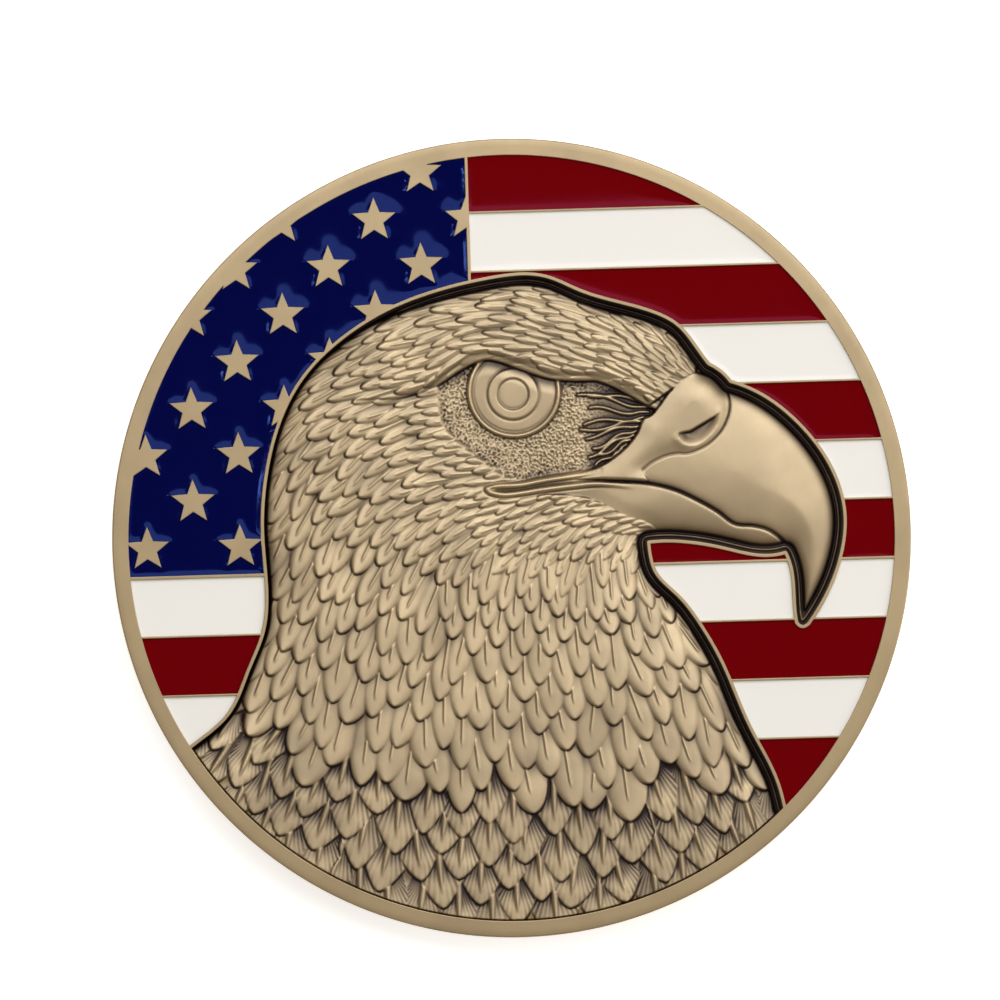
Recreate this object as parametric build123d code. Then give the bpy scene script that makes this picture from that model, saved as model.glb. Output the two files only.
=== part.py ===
"""A challenge coin: one struck brass blank, with an eagle's head in relief over a striped flag with a
star field, and a pool of soft enamel in each cell of the flag. The blank lies flat with its picture up.

Units are millimetres. The origin is the middle of the resting face, +Z points out of the picture side,
+X runs along the stripes towards the beak's side, and +Y points to the top of the picture."""

import math
import os

from build123d import *

# Blank
COIN_D = 50.8  # outside diameter
COIN_T = 4.0  # from the reverse rim to the obverse rim
RIM_W = 1.05  # width of the flat rim on both faces
EDGE_R = 0.22  # rounding of the outside corners

# Flag
STRIPES = 13
CANTON_STRIPES = 7  # height of the star field, counted in stripes
LOWEST_STRIPE = 11  # the last one that the eagle leaves open; it runs on into the corner below it
FLAG_OVER = 0.18  # how far the flag's top line lies beyond the field's edge
CANTON_X = -2.2  # the star field's right-hand line, in picture units
LINE_W = 0.13  # raised line between two stripes
CANTON_LINE_W = 0.2  # raised line round the star field
CELL_DEPTH = 0.75  # from the rim's flat down to a cell's floor
ENAMEL_SINK = 0.2  # how far the enamel's level lies under the metal lines
SMALLEST_CELL = 0.3  # square millimetres; a smaller scrap of a cell stays metal

# Stars
STAR_R = 1.47  # centre to tip
STAR_WAIST_R = 0.63  # centre to an inner corner
STAR_ROWS = 9
STAR_STEP_X = 2.95  # half the distance between two stars of a row
STAR_STEP_Y = 2.93  # from one row to the next
STAR_LEAN = 0.035  # each row's shift to the right
STAR_X0, STAR_Y0 = -23.15, -0.06  # lowest, leftmost star
STAR_CLEAR = 0.25  # a star ends this far inside the eagle's line

# Eagle
FENCE_W = 0.22  # raised line round the eagle
GROOVE_W = 0.45  # groove between that line and the relief
OUTLINE_STEP = 0.6  # between the points of a redrawn outline
JOIN_TOL = 1e-4
BED_DEPTH = 1.25  # from the rim's flat down to the groove's floor
RELIEF_UNDER = 0.22  # how far the relief's highest plain surface stays under the rim's flat
HEAD_DOME = (-1.5, -1.5, 22.0, 0.75)  # middle x and y, reach, and the fall at that reach
BEAK_DOME = (14.6, 3.2, 9.0, 0.7)
CERE_RISE = 0.12
BROW_RISE = 0.16
LIP_RISE = 0.1
EYE_RISE = 0.12
MOUTH_DEPTH = 0.3
NOSTRIL_DEPTH = 0.35

# Reverse
REVERSE_SINK = 0.4  # depth of the reverse field
REVERSE_LINE_R = 17.0
REVERSE_LINE_W = 0.35
REVERSE_STARS = 13
REVERSE_STAR_R = 1.5

# The picture is drawn for a field of this radius, and is scaled to the field that the blank leaves.
DRAWN_FIELD_R = 24.35

FIELD_R = COIN_D / 2 - RIM_W
SCALE = FIELD_R / DRAWN_FIELD_R
STRIPE_PITCH = 2 * (FIELD_R + FLAG_OVER) / STRIPES
CELL_Z = COIN_T - CELL_DEPTH
ENAMEL_Z = COIN_T - ENAMEL_SINK
BED_Z = COIN_T - BED_DEPTH
RELIEF_Z = COIN_T - RELIEF_UNDER
CANTON_FLOOR_Y = FIELD_R + FLAG_OVER - CANTON_STRIPES * STRIPE_PITCH

# The eagle's outline, along the middle of its raised line, in picture units.
NAPE = [
    (-22.4, -14.1), (-20.66, -12.6), (-18.27, -10.6), (-16.99, -7.97), (-15.96, -5.51), (-15.67, -2.53),
    (-15.82, 0.97), (-15.48, 4.45), (-14.49, 7.92), (-12.89, 10.68), (-10.47, 12.96), (-7.26, 14.84),
    (-4.09, 15.92), (-0.44, 16.64), (1.98, 16.71), (2.93, 16.48), (4.62, 15.7), (7.9, 14.62),
    (9.72, 13.99), (10.85, 13.33), (12.2, 11.63), (12.86, 10.7),
]
CERE_TOP = [(12.86, 10.7), (13.87, 9.96), (14.2, 9.55)]
BEAK_RIDGE = [
    (14.2, 9.55), (16.18, 8.66), (18.42, 6.81), (20.31, 4.18), (21.21, 1.17), (20.98, -1.37),
    (19.88, -4.2), (18.72, -5.99),
]
BEAK_TIP = [(18.72, -5.99), (18.31, -6.16), (17.96, -5.91)]
HOOK_INSIDE = [(17.96, -5.91), (17.84, -4.21), (17.65, -2.16), (17.38, -1.43)]
CHIN = [(17.38, -1.43), (15.8, -1.56), (13.46, -1.03), (11.0, -0.56), (8.7, -0.53)]
THROAT = [
    (8.7, -0.53), (8.79, -1.4), (9.03, -2.3), (10.41, -3.89), (11.82, -5.78), (13.24, -8.46),
    (14.81, -12.42), (16.42, -15.86), (16.95, -18.1), (17.3, -20.2),
]
BELOW_RIM = [(17.3, -20.2), (16.0, -30.0), (-30.0, -30.0), (-22.4, -14.1)]

# Features inside the outline, in picture units.
EYE = (0.4, 9.3)
EYE_RING_R, EYE_RING_W = 3.0, 0.28
PUPIL = (0.36, 9.15)
PUPIL_RING_R, PUPIL_HOLE_R = 1.6, 1.0
BROW = [(-10.0, 9.3), (-6.7, 9.35), (-4.5, 10.1), (-1.3, 11.75), (1.2, 10.85), (5.4, 10.05), (8.9, 8.6)]
BROW_W = 0.9
CERE = [
    (12.3, 10.1), (13.5, 9.55), (14.0, 8.6), (13.75, 6.9), (12.6, 5.6), (10.8, 5.05), (8.6, 4.2),
    (5.2, 4.05), (7.5, 5.6), (8.7, 7.4), (10.3, 8.9),
]
BEAK_SIDE = [
    (13.0, 9.7), (13.1, 8.0), (12.2, 6.4), (10.2, 5.2), (8.6, 4.0), (9.2, 3.2), (10.5, 2.83),
    (13.2, 1.34), (14.5, 0.48), (16.3, 0.13), (17.2, -1.0), (17.6, -6.2), (20.5, -6.5), (24.0, 2.0),
    (19.0, 9.5),
]
MOUTH = [
    (-1.2, 3.15), (2.1, 3.35), (4.3, 3.57), (7.0, 3.47), (10.5, 2.83), (13.2, 1.34), (14.5, 0.48),
    (16.3, 0.13), (17.0, -0.36),
]
MOUTH_W = 0.16
UPPER_LIP = [(-1.6, 3.3), (0.7, 3.42), (2.1, 3.68), (4.0, 3.95), (6.0, 4.2)]
LOWER_LIP = [(-1.5, 3.0), (-0.4, 2.78), (2.1, 3.02), (4.0, 3.2), (7.0, 3.1)]
LIP_W = 0.24
NOSTRIL = [(10.95, 6.05), (12.0, 6.45), (12.9, 7.0)]
NOSTRIL_W = 0.6


def on_picture(points):
    """Picture units scaled to this blank's field."""
    return [(x * SCALE, y * SCALE) for x, y in points]


def run(points):
    """One smooth stretch of the outline."""
    return Spline(*on_picture(points))


def closed(points):
    """A closed smooth shape through its points."""
    return make_face(Spline(*on_picture(points), periodic=True))


def band(points, width):
    """A line of even width along a smooth path, with round ends."""
    spine = Wire([Spline(*on_picture(points))])
    outline = spine.offset_2d(width / 2, kind=Kind.ARC, side=Side.BOTH)
    return redrawn(outline)


def raised(face, low, high):
    """A flat shape stood up between two heights."""
    return extrude(Pos(0, 0, low) * face, amount=high - low)


def redrawn(outline):
    """A flat shape whose offset edges are drawn again as plain splines. Lines and arcs stay."""
    edges = []
    for edge in outline.edges():
        if edge.geom_type not in (GeomType.LINE, GeomType.CIRCLE):
            count = max(4, math.ceil(edge.length / OUTLINE_STEP))
            edge = Spline(*[edge @ (k / count) for k in range(count + 1)])
        edges.append(edge)
    return Face(Wire.combine(edges, tol=JOIN_TOL)[0])


def eagle_zone(grow):
    """Everything that the eagle covers, grown past the middle of its raised line."""
    stretches = [NAPE, CERE_TOP, BEAK_RIDGE, BEAK_TIP, HOOK_INSIDE, CHIN, THROAT]
    edges = [run(points) for points in stretches] + [Polyline(*on_picture(BELOW_RIM))]
    grown = offset(make_face(edges), amount=grow, kind=Kind.ARC)
    return redrawn(grown)


def star(radius, waist, turn=0.0):
    """A five-pointed star with one tip up, turned by some degrees."""
    corners = []
    for k in range(10):
        angle = math.radians(90 + 36 * k + turn)
        reach = waist if k % 2 else radius
        corners.append((reach * math.cos(angle), reach * math.sin(angle)))
    return make_face(Polyline(*corners, close=True))


def star_places():
    """Where the star field's stars would stand if nothing covered them."""
    places = []
    for row in range(STAR_ROWS):
        for column in range(row % 2, 9, 2):
            x = STAR_X0 + column * STAR_STEP_X + row * STAR_LEAN
            places.append((x * SCALE, (STAR_Y0 + row * STAR_STEP_Y) * SCALE))
    return places


def large_faces(shape):
    """The faces of a flat region that are large enough to be filled, from left to right."""
    faces = [face for face in shape.faces() if face.area > SMALLEST_CELL]
    return sorted(faces, key=lambda face: face.center().X)


def canton_cell(covered):
    """The star field's cell, with its stars standing in it."""
    low = CANTON_FLOOR_Y + CANTON_LINE_W / 2
    right = CANTON_X * SCALE - CANTON_LINE_W / 2
    cell = Circle(FIELD_R) & Pos(right - COIN_D / 2, low + COIN_D / 2) * Rectangle(COIN_D, COIN_D)
    cell -= covered
    for x, y in star_places():
        if math.hypot(x, y) < FIELD_R + STAR_R and x < right + STAR_R:
            cell -= Pos(x, y) * star(STAR_R, STAR_WAIST_R)
    return large_faces(cell)


def stripe_cells(covered):
    """Each stripe's cells from left to right, by the stripe's number from the top."""
    cells = {}
    top = FIELD_R + FLAG_OVER
    for number in range(1, LOWEST_STRIPE + 1):
        high = top - (number - 1) * STRIPE_PITCH - LINE_W / 2
        low = top - number * STRIPE_PITCH + LINE_W / 2
        if number == LOWEST_STRIPE:
            low = -COIN_D
        left = -COIN_D
        if number <= CANTON_STRIPES:
            left = CANTON_X * SCALE + CANTON_LINE_W / 2
        if number == CANTON_STRIPES + 1:
            high = CANTON_FLOOR_Y - CANTON_LINE_W / 2
        middle = ((left + COIN_D) / 2, (high + low) / 2)
        strip = Pos(*middle) * Rectangle(COIN_D - left, high - low)
        cells[number] = large_faces((Circle(FIELD_R) & strip) - covered)
    return cells


def dome(shape, rise):
    """The ball whose upper side is a relief surface, raised by some height."""
    x, y, reach, fall = shape
    radius = ((reach * SCALE) ** 2 + fall**2) / (2 * fall)
    return Pos(x * SCALE, y * SCALE, RELIEF_Z + rise - radius) * Sphere(radius)


def under_dome(region, shape, rise):
    """A flat region stood up from just below the bed to a dome, raised by some height."""
    return raised(region, BED_Z - 0.25, COIN_T + 1) & dome(shape, rise)


def relief():
    """The eagle's plain relief with its beak, eye, brow and mouth."""
    inside = Circle(FIELD_R + 0.3) & eagle_zone(-(FENCE_W / 2 + GROOVE_W))
    cere = closed(CERE) & inside
    beak = (closed(BEAK_SIDE) & inside) - cere
    shape = under_dome(inside - cere - beak, HEAD_DOME, 0)
    shape += under_dome(beak, BEAK_DOME, 0)
    shape += under_dome(cere, BEAK_DOME, CERE_RISE)
    shape += under_dome(band(BROW, BROW_W), HEAD_DOME, BROW_RISE)
    shape += under_dome(band(UPPER_LIP, LIP_W), HEAD_DOME, LIP_RISE)
    shape += under_dome(band(LOWER_LIP, LIP_W), HEAD_DOME, LIP_RISE)
    eye_x, eye_y = on_picture([EYE])[0]
    pupil_x, pupil_y = on_picture([PUPIL])[0]
    ring = Pos(eye_x, eye_y) * (Circle(EYE_RING_R) - Circle(EYE_RING_R - EYE_RING_W))
    shape += under_dome(ring, HEAD_DOME, EYE_RISE)
    pupil = Pos(pupil_x, pupil_y) * (Circle(PUPIL_RING_R) - Circle(PUPIL_HOLE_R))
    shape += under_dome(pupil, HEAD_DOME, EYE_RISE)
    mouth = raised(band(MOUTH, MOUTH_W), BED_Z, COIN_T + 1)
    shape -= mouth - dome(HEAD_DOME, -MOUTH_DEPTH)
    nostril = raised(band(NOSTRIL, NOSTRIL_W), BED_Z, COIN_T + 1)
    shape -= nostril - dome(BEAK_DOME, CERE_RISE - NOSTRIL_DEPTH)
    return shape


def blank():
    """The turned blank: both rims flat, outside corners rounded, and the reverse field sunk."""
    body = Pos(0, 0, COIN_T / 2) * Cylinder(COIN_D / 2, COIN_T)
    body = fillet(body.edges().filter_by(GeomType.CIRCLE), EDGE_R)
    field = Circle(FIELD_R)
    line = Circle(REVERSE_LINE_R * SCALE + REVERSE_LINE_W) - Circle(REVERSE_LINE_R * SCALE)
    field -= line
    ring_r = (REVERSE_LINE_R * SCALE + REVERSE_LINE_W + FIELD_R) / 2
    for k in range(REVERSE_STARS):
        turn = 360 * k / REVERSE_STARS
        angle = math.radians(90 + turn)
        place = Pos(ring_r * math.cos(angle), ring_r * math.sin(angle))
        field -= place * star(REVERSE_STAR_R, REVERSE_STAR_R * STAR_WAIST_R / STAR_R, turn)
    return body - raised(field, -1, REVERSE_SINK)


def write(name, shape):
    export_step(shape, f"parts/{name}.step")
    print(name, round(shape.volume, 3), "valid" if shape.is_valid else "NOT VALID")


def main():
    os.makedirs("parts", exist_ok=True)
    covered = eagle_zone(FENCE_W / 2)
    cells = {"blue_star_field": canton_cell(covered)[0]}
    for number, faces in stripe_cells(covered).items():
        colour = "red" if number % 2 else "white"
        for letter, face in zip("abc", faces):
            cells[f"{colour}_stripe_{number}{letter}"] = face

    body = blank()
    body -= raised(Circle(FIELD_R) & eagle_zone(-FENCE_W / 2), BED_Z, COIN_T + 1)
    for face in cells.values():
        body -= raised(face, CELL_Z, COIN_T + 1)
    body += relief() & Pos(0, 0, COIN_T / 2) * Cylinder(FIELD_R + 0.2, COIN_T * 2)
    write("coin_body", body)

    for name, face in cells.items():
        write(name, raised(face, CELL_Z, ENAMEL_Z))


main()
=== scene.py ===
# %% [markdown]
# # A struck challenge coin in Blender
# The coin is one brass blank, struck between two dies, with an eagle's head in relief over a striped
# flag. Soft enamel fills the flag's cells, and a dark patina is washed into the relief's hollows.
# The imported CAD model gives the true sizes: the rim, the raised lines and the enamel cells. This script
# builds the finished surface round it: the feathers, the curved enamel, the rounded edges, the finishes.

import math

import bpy
import numpy as np
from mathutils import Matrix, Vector
from mathutils.geometry import delaunay_2d_cdt


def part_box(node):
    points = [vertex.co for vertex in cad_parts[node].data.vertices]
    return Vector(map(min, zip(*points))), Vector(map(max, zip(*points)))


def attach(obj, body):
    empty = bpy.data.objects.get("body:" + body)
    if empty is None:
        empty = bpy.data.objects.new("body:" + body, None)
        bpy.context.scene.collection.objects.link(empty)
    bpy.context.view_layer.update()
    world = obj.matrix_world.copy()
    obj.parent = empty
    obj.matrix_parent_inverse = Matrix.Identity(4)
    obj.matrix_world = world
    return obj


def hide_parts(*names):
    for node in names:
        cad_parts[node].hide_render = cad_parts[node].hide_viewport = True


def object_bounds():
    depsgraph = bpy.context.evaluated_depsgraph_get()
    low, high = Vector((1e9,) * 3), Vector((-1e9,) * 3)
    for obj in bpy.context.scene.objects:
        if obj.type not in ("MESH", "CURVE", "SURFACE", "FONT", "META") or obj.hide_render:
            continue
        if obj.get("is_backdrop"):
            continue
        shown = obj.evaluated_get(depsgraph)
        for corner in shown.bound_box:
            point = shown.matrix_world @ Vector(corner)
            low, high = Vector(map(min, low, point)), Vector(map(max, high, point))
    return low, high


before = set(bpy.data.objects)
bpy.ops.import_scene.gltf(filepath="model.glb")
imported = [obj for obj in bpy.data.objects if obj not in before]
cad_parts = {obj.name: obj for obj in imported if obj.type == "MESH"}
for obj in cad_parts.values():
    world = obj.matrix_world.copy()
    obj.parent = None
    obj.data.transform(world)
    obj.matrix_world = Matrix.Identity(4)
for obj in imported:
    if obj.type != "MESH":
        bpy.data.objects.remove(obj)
cad_low, cad_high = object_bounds()
MM = 0.001
COIN_T = cad_high.z / MM
COIN_R = cad_high.x / MM
pool_names = sorted(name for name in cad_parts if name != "coin_body")
ENAMEL_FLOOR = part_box("blue_star_field")[0].z / MM
ENAMEL_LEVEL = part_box("blue_star_field")[1].z / MM
print(f"coin {2 * COIN_R:.1f} mm across, {COIN_T:.1f} mm thick, {len(pool_names)} enamel pools")

# %% [markdown]
# ## Reading outlines from the frame
# Every flat top in the CAD mesh is a set of triangles at one height. The edges that only one of them
# uses are its outline. Reading the outlines from there, rather than typing them again, keeps each
# finished piece exactly where the design has it.

# %% Outlines of a flat level
def level_loops(node, level):
    """Closed outlines, in millimetres, of a node's upward faces at one height. Metal is on their left."""
    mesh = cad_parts[node].data
    mesh.calc_loop_triangles()
    co = np.empty(len(mesh.vertices) * 3)
    mesh.vertices.foreach_get("co", co)
    co = co.reshape(-1, 3) / MM
    corner = np.empty(len(mesh.loop_triangles) * 3, np.int32)
    mesh.loop_triangles.foreach_get("vertices", corner)
    places, index = np.unique(np.round(co, 4), axis=0, return_inverse=True)
    tri = index.ravel()[corner].reshape(-1, 3)
    flat = np.abs(places[tri][:, :, 2] - level).max(1) < 0.002
    tri = tri[flat]
    a, b, c = (places[tri[:, k]][:, :2] for k in range(3))
    area = (b[:, 0] - a[:, 0]) * (c[:, 1] - a[:, 1]) - (b[:, 1] - a[:, 1]) * (c[:, 0] - a[:, 0])
    tri = tri[area > 1e-9]
    used = {(t[i], t[(i + 1) % 3]) for t in tri.tolist() for i in range(3)}
    following = {a: b for a, b in used if (b, a) not in used}
    loops = []
    while following:
        start, here = following.popitem()
        loop = [start]
        while here != start:
            loop.append(here)
            here = following.pop(here)
        loops.append(places[loop][:, :2])
    return loops


def signed_area(loop):
    x, y = loop[:, 0], loop[:, 1]
    return 0.5 * float(np.sum(x * np.roll(y, -1) - y * np.roll(x, -1)))


metal_loops = level_loops("coin_body", COIN_T)
print(len(metal_loops), "outlines at the coin's highest level")

# %% [markdown]
# The CAD mesh follows a curve with short straight chords, which a glossy bevel would show as facets.
# A cubic through the same points gives the curve back, and corners sharper than a set angle stay sharp.

# %% Smooth an outline between its corners
CORNER = math.radians(14)
OUTLINE_STEP = 0.15  # mm between the points of a smoothed outline


def smoothed(loop, step=OUTLINE_STEP):
    before, after = np.roll(loop, 1, axis=0), np.roll(loop, -1, axis=0)
    back, forth = loop - before, after - loop
    back_len = np.linalg.norm(back, axis=1, keepdims=True)
    forth_len = np.linalg.norm(forth, axis=1, keepdims=True)
    back_dir, forth_dir = back / back_len, forth / forth_len
    turn = np.arccos(np.clip((back_dir * forth_dir).sum(1), -1, 1))
    even = back_dir * forth_len + forth_dir * back_len
    even /= np.linalg.norm(even, axis=1, keepdims=True)
    sharp = (turn > CORNER)[:, None]
    leaving = np.where(sharp, forth_dir, even)
    arriving = np.where(sharp, back_dir, even)
    points = []
    for k in range(len(loop)):
        j = (k + 1) % len(loop)
        length = forth_len[k, 0]
        count = max(1, math.ceil(length / step))
        t = (np.arange(count) / count)[:, None]
        ends = (2 * t**3 - 3 * t**2 + 1) * loop[k] + (3 * t**2 - 2 * t**3) * loop[j]
        slopes = (t**3 - 2 * t**2 + t) * leaving[k] + (t**3 - t**2) * arriving[j]
        points.append(ends + slopes * length)
    return np.vstack(points)


def moved_sideways(loop, distance):
    """The outline moved to its left, with its corners mitred."""
    forth = np.roll(loop, -1, axis=0) - loop
    forth /= np.linalg.norm(forth, axis=1, keepdims=True)
    left = np.stack([-forth[:, 1], forth[:, 0]], axis=1)
    before = np.roll(left, 1, axis=0)
    spread = 1 + np.clip((left * before).sum(1, keepdims=True), -0.55, 1)
    return loop + distance * (left + before) / spread


# %% [markdown]
# ## Filling outlines with triangles
# A constrained Delaunay triangulation joins the outlines' points and any points in between. It also
# fills holes, so each triangle stays only if its middle is inside by the even-odd rule.

# %% Triangulate a flat region
def is_inside(points, loops):
    """Even-odd test of many points against closed outlines."""
    inside = np.zeros(len(points), bool)
    x, y = points[:, 0], points[:, 1]
    for loop in loops:
        after = np.roll(loop, -1, axis=0)
        for (ax, ay), (bx, by) in zip(loop, after):
            if ay != by:
                crosses = (ay > y) != (by > y)
                inside[crosses & (x < (bx - ax) * (y - ay) / (by - ay) + ax)] ^= True
    return inside


SAME_POINT = 1e-7  # mm, nearer than which the triangulation takes two points as one


def rings_of(loops):
    """Each outline's point numbers and the numbers of the points after them, counted through all."""
    start = 0
    for loop in loops:
        ring = start + np.arange(len(loop))
        yield ring, np.roll(ring, -1)
        start += len(loop)


def triangulated(points, loops):
    """All the triangles between points, with the outlines, whose points come first, as edges."""
    edges = [edge for ring, after in rings_of(loops) for edge in zip(ring.tolist(), after.tolist())]
    made = delaunay_2d_cdt([Vector(p) for p in points], edges, [], 0, SAME_POINT)
    return np.array([v[:] for v in made[0]]), np.array([f[:] for f in made[2]], np.int64)


def filled(loops, extra=None):
    """Points and triangles of the region between outlines. The outlines' own points come first."""
    points = np.vstack(loops if extra is None else [*loops, extra])
    co, tri = triangulated(points, loops)
    if len(co) != len(points):
        print("  the outlines cross at", np.round(co[len(points) :], 3).tolist())
    return co, tri[is_inside(co[tri].mean(1), loops)]


def crossings(loops):
    """Where the outlines cross, which is wherever the triangulation has to add a point."""
    points = np.vstack(loops)
    return triangulated(points, loops)[0][len(points) :].reshape(-1, 2)


def wall(loops, lower, upper):
    """Quads between two copies of the outlines whose points are numbered from lower and upper."""
    quads = []
    for ring, after in rings_of(loops):
        quads += np.stack([lower + ring, lower + after, upper + after, upper + ring], 1).tolist()
    return quads


def make_piece(name, co_mm, faces, smooth=True):
    """A mesh object at the origin from points in millimetres."""
    mesh = bpy.data.meshes.new(name)
    mesh.from_pydata((np.asarray(co_mm) * MM).tolist(), [], [list(map(int, f)) for f in faces])
    mesh.shade_smooth() if smooth else mesh.shade_flat()
    piece = bpy.data.objects.new(name, mesh)
    bpy.context.scene.collection.objects.link(piece)
    return piece


# %% [markdown]
# ## Raised metal
# Lines and stars are struck by the same die, so all their tops lie in one plane and their edges are
# slightly rounded. Each is a plate: a filled top, a narrow bevel round it, and walls down into the blank.
# A Bevel modifier would do it too, but it overlaps itself where two outlines meet at a sharp angle.

# %% A plate with a rounded edge
BEVEL = 0.035  # mm
BEVEL_BEND = 0.3  # share of the bevel at which it turns from flat to steep
CROSSING_REACH = 0.4  # mm round a crossing within which the bevel is left out


def plate(loops, top, foot, bevel):
    """Points and faces of a closed plate. The outlines have the metal on their left."""
    inset = [moved_sideways(loop, bevel) for loop in loops]
    for crossing in crossings(inset):
        for moved, loop in zip(inset, loops):
            close = np.linalg.norm(loop - crossing, axis=1) < CROSSING_REACH
            moved[close] = loop[close]
    halfway = [loop + (moved - loop) * BEVEL_BEND for moved, loop in zip(inset, loops)]
    levels = [(inset, top), (halfway, top - bevel * BEVEL_BEND), (loops, top - bevel), (loops, foot)]
    count = sum(len(loop) for loop in loops)
    co = [np.column_stack([loop, np.full(len(loop), z)]) for ring, z in levels for loop in ring]
    faces = []
    for level in range(len(levels) - 1):
        faces += wall(loops, (level + 1) * count, level * count)
    faces += filled(inset)[1].tolist()
    faces += (filled(loops)[1][:, ::-1] + 3 * count).tolist()
    return np.vstack(co), faces


# %% Raised lines and rim as one plate
FOOT_Z = 2.55  # the blank's floor under everything, lower than the deepest groove
PLATE_R = 24.9  # the plate ends inside the rim's flat, and the turned blank goes on from there
TURN_STEPS = 360

turn = np.linspace(0, 2 * np.pi, TURN_STEPS, endpoint=False)
rim_circle = PLATE_R * np.column_stack([np.cos(turn), np.sin(turn)])
STAR_AREA_BELOW = 10  # square millimetres; the other raised outlines are far larger
star_loops = [loop for loop in metal_loops if 0 < signed_area(loop) < STAR_AREA_BELOW]
cell_loops = [smoothed(loop) for loop in metal_loops if signed_area(loop) < 0]


def plate_with_rim(loops, outer, top, foot, bevel):
    """A plate whose outer edge stays plain, because the blank's rim meets it there."""
    co, faces = plate([*loops, outer], top, foot, bevel)
    count = sum(len(loop) for loop in loops) + len(outer)
    for level in range(3):
        first = level * count + count - len(outer)
        co[first : first + len(outer), :2] = outer
    return co, faces


plate_co, plate_faces = plate_with_rim(cell_loops, rim_circle, COIN_T, FOOT_Z, BEVEL)
raised_metal = make_piece("raised_metal", plate_co, plate_faces, smooth=False)
print(len(star_loops), "whole stars,", len(cell_loops), "cells,", len(plate_faces), "faces in the plate")

# %% [markdown]
# ## The turned blank
# Rim, edge and reverse are round, so one outline turned about the axis gives them all. The Screw or
# Spin tools would do the same; writing the rings out directly keeps the ends closed and the count exact.

# %% Turn the blank
EDGE_R = 0.12  # mm, rounding of the outside corners
RIM_W = 1.05  # mm
RIM_IN_R = COIN_R - RIM_W
REVERSE_Z = 0.4  # depth of the reverse's field
LINE_R, LINE_W = 17.0, 0.35  # the reverse's raised ring
SOFT = 0.06  # mm, how far a struck edge is rounded
SLOPE, LEAN = 0.12, 0.03  # mm that a struck wall spreads at its foot, and near its top
LINE_TOP = 0.01  # the ring stays just clear of what the coin lies on


def arc(cx, cz, radius, start, end, steps=6):
    angles = np.radians(np.linspace(start, end, steps + 1))
    return [(cx + radius * math.cos(a), cz + radius * math.sin(a)) for a in angles]


LINE_END_R = LINE_R + LINE_W
profile = [(0, REVERSE_Z), (LINE_R - SLOPE, REVERSE_Z)]
profile += [(LINE_R - LEAN, SOFT), (LINE_R + LEAN, LINE_TOP), (LINE_END_R - LEAN, LINE_TOP)]
profile += [(LINE_END_R + LEAN, SOFT), (LINE_END_R + SLOPE, REVERSE_Z)]
profile += [(RIM_IN_R - SLOPE, REVERSE_Z), (RIM_IN_R - 0.02, SOFT), (RIM_IN_R + 0.04, 0)]
profile += arc(COIN_R - EDGE_R, EDGE_R, EDGE_R, -90, 0)
profile += arc(COIN_R - EDGE_R, COIN_T - EDGE_R, EDGE_R, 0, 90)
profile += [(PLATE_R, COIN_T), (PLATE_R, FOOT_Z), (0, FOOT_Z)]


def turned(outline):
    """Points and faces of a closed outline turned about the Z axis. It starts and ends on the axis."""
    co, faces = [(0, 0, outline[0][1])], []
    for r, z in outline[1:-1]:
        co += [(r * math.cos(a), r * math.sin(a), z) for a in turn]
    co.append((0, 0, outline[-1][1]))
    ring = np.arange(TURN_STEPS)
    after = (ring + 1) % TURN_STEPS
    faces += [(0, 1 + b, 1 + a) for a, b in zip(ring, after)]
    for k in range(len(outline) - 3):
        low, high = 1 + k * TURN_STEPS, 1 + (k + 1) * TURN_STEPS
        faces += [(low + a, low + b, high + b, high + a) for a, b in zip(ring, after)]
    last = 1 + (len(outline) - 3) * TURN_STEPS
    faces += [(len(co) - 1, last + a, last + b) for a, b in zip(ring, after)]
    return co, faces


blank_co, blank_faces = turned(profile)
blank = make_piece("turned_blank", blank_co, blank_faces)
blank.data.set_sharp_from_angle(angle=math.radians(35))
print(len(blank_faces), "faces in the blank")

# %% [markdown]
# ## Stars
# The star field's whole stars are one shape many times over, so Geometry Nodes place them: one point
# for each star, one star instanced on each point. The reverse has a ring of smaller ones, placed by a
# second tree that makes its own circle of points and turns each star to face outwards.

# %% One bevelled star
STAR_R, STAR_WAIST_R = 1.47, 0.63


def star_outline(radius, waist):
    angles = np.pi / 2 + np.arange(10) * np.pi / 5
    reach = np.where(np.arange(10) % 2, waist, radius)
    return np.column_stack([reach * np.cos(angles), reach * np.sin(angles)])


def star_stock(name, height):
    """A star whose top is at z 0, kept out of the render as the tree's stock."""
    co, faces = plate([star_outline(STAR_R, STAR_WAIST_R)], 0, -height, BEVEL)
    stock = make_piece(name, co, faces, smooth=False)
    stock.hide_render = True
    return stock


# %% Trees that place them
def node(tree, kind, links=None, **settings):
    """Adds a node. Settings are its own properties; links maps an input to a value or to a socket."""
    made = tree.nodes.new(kind)
    for key, value in settings.items():
        setattr(made, key, value)
    for key, value in (links or {}).items():
        socket = made.inputs[key]
        if isinstance(value, bpy.types.NodeSocket):
            tree.links.new(value, socket)
        else:
            socket.default_value = value
    return made


def new_tree(name, inputs):
    tree = bpy.data.node_groups.new(name, "GeometryNodeTree")
    tree.interface.new_socket("Geometry", in_out="OUTPUT", socket_type="NodeSocketGeometry")
    for label, kind in inputs:
        tree.interface.new_socket(label, in_out="INPUT", socket_type=kind)
    return tree, node(tree, "NodeGroupInput").outputs


def finished_tree(tree, instances, material):
    """Instances to real faces, then their material."""
    real = node(tree, "GeometryNodeRealizeInstances", {0: instances})
    painted = node(tree, "GeometryNodeSetMaterial", {"Geometry": real.outputs[0], "Material": material})
    node(tree, "NodeGroupOutput", {0: painted.outputs[0]})


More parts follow.
